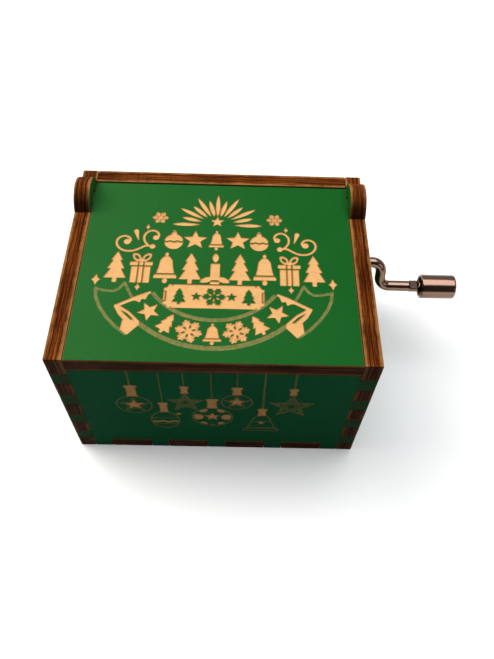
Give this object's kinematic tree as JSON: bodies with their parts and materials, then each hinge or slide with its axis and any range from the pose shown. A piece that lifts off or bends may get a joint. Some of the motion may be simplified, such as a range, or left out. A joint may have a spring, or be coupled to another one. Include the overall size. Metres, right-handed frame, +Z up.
{
  "type": "hand crank music box",
  "caption": "Small plywood music box with a green engraved lid on peg hinges, finger-jointed walls, a wire hand crank with a metal knob, and a pinned-cylinder and comb movement inside.",
  "frame": {"origin": "middle of the wooden case's underside, on the plane it stands on", "axes": "+Z up, +X towards the crank, +Y from the front panel to the back panel"},
  "size_m": [0.0888, 0.051, 0.0428],
  "materials": {
    "green_ply": "painted plywood, satin, with scorched brown edges",
    "dark_green_ply": "painted plywood, satin",
    "cast_zinc": "die cast, satin",
    "spring_steel": "ground",
    "bracket_steel": "zinc plated",
    "screw_steel": "plated",
    "nickel": "nickel plated, polished",
    "brass": "turned",
    "soft_lead": "dull"
  },
  "bodies": {
    "case": {"side_panel_left": "green_ply", "side_panel_right": "green_ply", "front_panel": "dark_green_ply", "back_panel": "green_ply", "bottom_panel": "green_ply", "bedplate_screw_1": "screw_steel", "bedplate_screw_2": "screw_steel", "bedplate_screw_3": "screw_steel", "bedplate": "cast_zinc", "comb": "spring_steel", "comb_screw_front": "screw_steel", "comb_screw_rear": "screw_steel", "comb_weight_1": "soft_lead", "comb_weight_2": "soft_lead", "comb_weight_3": "soft_lead", "comb_weight_4": "soft_lead", "comb_weight_5": "soft_lead", "arbor_bracket_front": "bracket_steel", "arbor_bracket_rear": "bracket_steel", "worm_bracket": "bracket_steel", "arbor_screw_front": "screw_steel", "arbor_screw_rear": "screw_steel", "worm_screw_left": "screw_steel", "worm_screw_right": "screw_steel"},
    "lid": {"lid_panel": "green_ply"},
    "crank": {"worm_shaft": "spring_steel", "worm_snap_ring": "bracket_steel", "crank_rod": "nickel"},
    "knob": {"crank_knob": "nickel"},
    "cylinder": {"cylinder_drum": "brass", "drum_cap_front": "brass", "drum_cap_rear": "brass", "cylinder_arbor": "spring_steel", "drive_gear": "brass"}
  },
  "joints": [
    {"name": "lid_hinge", "type": "hinge", "parent": "case", "child": "lid", "pos_m": [0, 0.0172, 0.03725], "axis": [-1, 0, 0], "range_deg": [0, 140]},
    {"name": "crank_turn", "type": "hinge", "parent": "case", "child": "crank", "pos_m": [0, 0.0115, 0.0253], "axis": [1, 0, 0], "continuous": true},
    {"name": "cylinder_turn", "type": "hinge", "parent": "case", "child": "cylinder", "pos_m": [0.008, 0, 0.01673], "axis": [0, 1, 0], "continuous": true},
    {"name": "knob_spin", "type": "hinge", "parent": "crank", "child": "knob", "pos_m": [0.053, 0.00905, 0.01961], "axis": [1, 0, 0], "continuous": true}
  ],
  "couplings": [
    {"joint": "crank_turn", "follows": "cylinder_turn", "ratio": -17}
  ]
}
